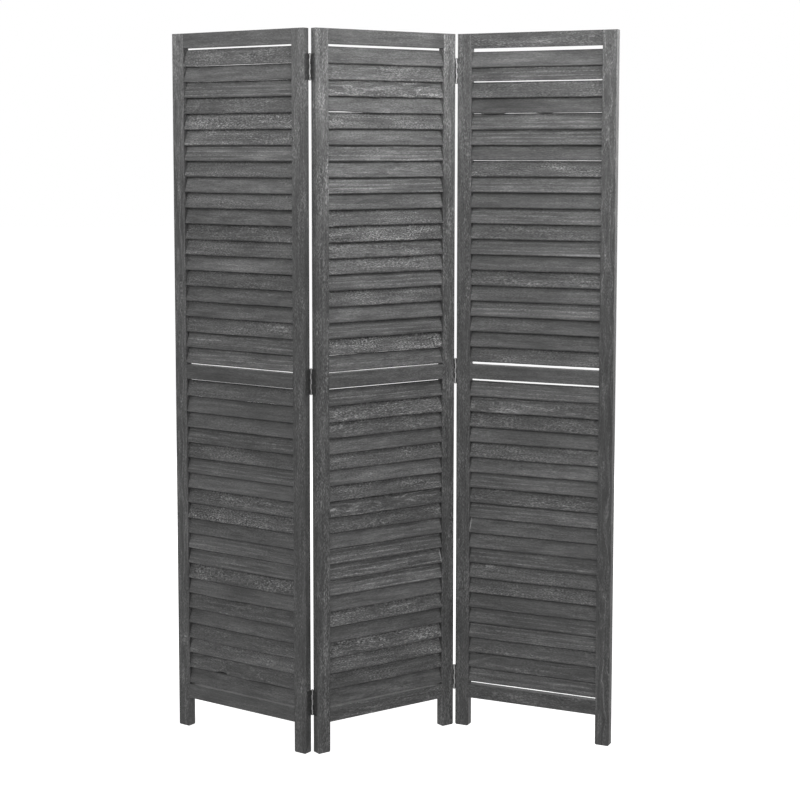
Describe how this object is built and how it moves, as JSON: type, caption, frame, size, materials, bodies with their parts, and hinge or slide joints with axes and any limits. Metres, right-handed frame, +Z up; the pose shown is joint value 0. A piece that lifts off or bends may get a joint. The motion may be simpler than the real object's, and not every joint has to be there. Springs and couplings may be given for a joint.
{
  "type": "folding screen",
  "caption": "Free-standing folding screen: louvred wooden panels joined by butt hinges, standing in a zigzag.",
  "frame": {"origin": "on the floor, under the middle of the standing screen's box", "axes": "+Z up, +X to the right as seen from the front, +Y from the front to the back"},
  "size_m": [1.0558, 0.2478, 1.7],
  "materials": {
    "frame_wood": "grey stain, brushed, matt",
    "slat_wood": "grey stain, brushed, matt",
    "dowel_wood": "plain beech",
    "hinge_steel": "dull zinc plate",
    "pin_steel": "zinc plate",
    "screw_steel": "zinc plate"
  },
  "bodies": {
    "left_panel": {"left_panel_left_stile": "frame_wood", "left_panel_right_stile": "frame_wood", "left_panel_top_rail": "frame_wood", "left_panel_middle_rail": "frame_wood", "left_panel_bottom_rail": "frame_wood", "left_panel_dowels": "dowel_wood", "left_panel_slats_top": "slat_wood", "left_panel_slats_upper": "slat_wood", "left_panel_slats_lower": "slat_wood", "left_panel_slats_bottom": "slat_wood", "left_fold_top_hinge_outer_leaf": "hinge_steel", "left_fold_middle_hinge_outer_leaf": "hinge_steel", "left_fold_bottom_hinge_outer_leaf": "hinge_steel", "left_panel_hinge_screws": "screw_steel"},
    "middle_panel": {"middle_panel_left_stile": "frame_wood", "middle_panel_right_stile": "frame_wood", "middle_panel_top_rail": "frame_wood", "middle_panel_middle_rail": "frame_wood", "middle_panel_bottom_rail": "frame_wood", "middle_panel_dowels": "dowel_wood", "middle_panel_slats_top": "slat_wood", "middle_panel_slats_upper": "slat_wood", "middle_panel_slats_lower": "slat_wood", "middle_panel_slats_bottom": "slat_wood", "left_fold_top_hinge_middle_leaf": "hinge_steel", "left_fold_top_hinge_pin": "pin_steel", "left_fold_middle_hinge_middle_leaf": "hinge_steel", "left_fold_middle_hinge_pin": "pin_steel", "left_fold_bottom_hinge_middle_leaf": "hinge_steel", "left_fold_bottom_hinge_pin": "pin_steel", "right_fold_top_hinge_middle_leaf": "hinge_steel", "right_fold_top_hinge_pin": "pin_steel", "right_fold_middle_hinge_middle_leaf": "hinge_steel", "right_fold_middle_hinge_pin": "pin_steel", "right_fold_bottom_hinge_middle_leaf": "hinge_steel", "right_fold_bottom_hinge_pin": "pin_steel", "middle_panel_left_hinge_screws": "screw_steel", "middle_panel_right_hinge_screws": "screw_steel"},
    "right_panel": {"right_panel_left_stile": "frame_wood", "right_panel_right_stile": "frame_wood", "right_panel_top_rail": "frame_wood", "right_panel_middle_rail": "frame_wood", "right_panel_bottom_rail": "frame_wood", "right_panel_dowels": "dowel_wood", "right_panel_slats_top": "slat_wood", "right_panel_slats_upper": "slat_wood", "right_panel_slats_lower": "slat_wood", "right_panel_slats_bottom": "slat_wood", "right_fold_top_hinge_outer_leaf": "hinge_steel", "right_fold_middle_hinge_outer_leaf": "hinge_steel", "right_fold_bottom_hinge_outer_leaf": "hinge_steel", "right_panel_hinge_screws": "screw_steel"}
  },
  "joints": [
    {"name": "left_fold", "type": "hinge", "parent": "middle_panel", "child": "left_panel", "pos_m": [-0.18835, -0.10713, 0.85], "axis": [0, 0, 1], "range_deg": [-109.5, 70.5]},
    {"name": "right_fold", "type": "hinge", "parent": "middle_panel", "child": "right_panel", "pos_m": [0.15609, 0.10426, 0.85], "axis": [0, 0, 1], "range_deg": [-119.5, 60.5]}
  ]
}
